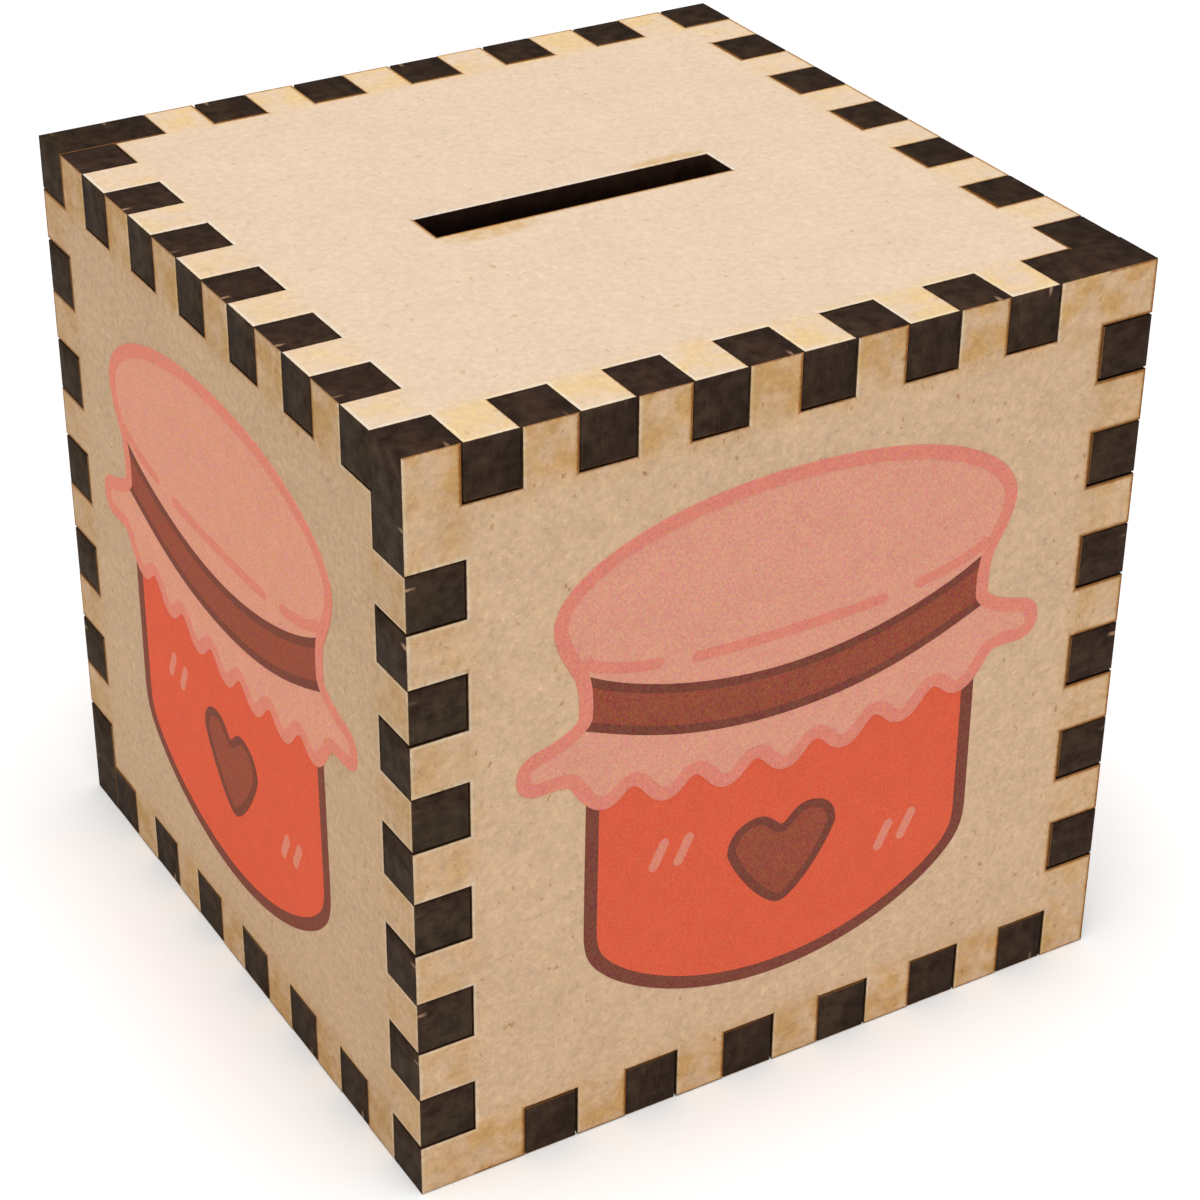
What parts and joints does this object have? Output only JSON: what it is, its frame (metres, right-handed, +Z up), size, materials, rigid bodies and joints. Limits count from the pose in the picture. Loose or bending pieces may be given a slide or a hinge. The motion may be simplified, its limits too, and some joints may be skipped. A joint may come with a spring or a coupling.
{
  "type": "wooden money box",
  "caption": "Cube-shaped money box of six finger-jointed boards, with a coin slot in the top and a pull-out round stopper in the base.",
  "frame": {"origin": "centre of the base, on the surface that the box stands on", "axes": "+Z up through the coin slot, front face towards -Y, coin slot's long side along X"},
  "size_m": [0.084, 0.084, 0.084],
  "materials": {
    "board": "bare fibreboard, matt, with dark laser-cut edges",
    "stopper": "matt moulded"
  },
  "bodies": {
    "box": {"front_panel": "board", "back_panel": "board", "left_panel": "board", "right_panel": "board", "top_panel": "board", "bottom_panel": "board"},
    "stopper": {"base_stopper": "stopper"}
  },
  "joints": [
    {"name": "stopper_pull", "type": "slide", "parent": "box", "child": "stopper", "axis": [0, 0, -1], "range_m": [0, 0.03]}
  ]
}
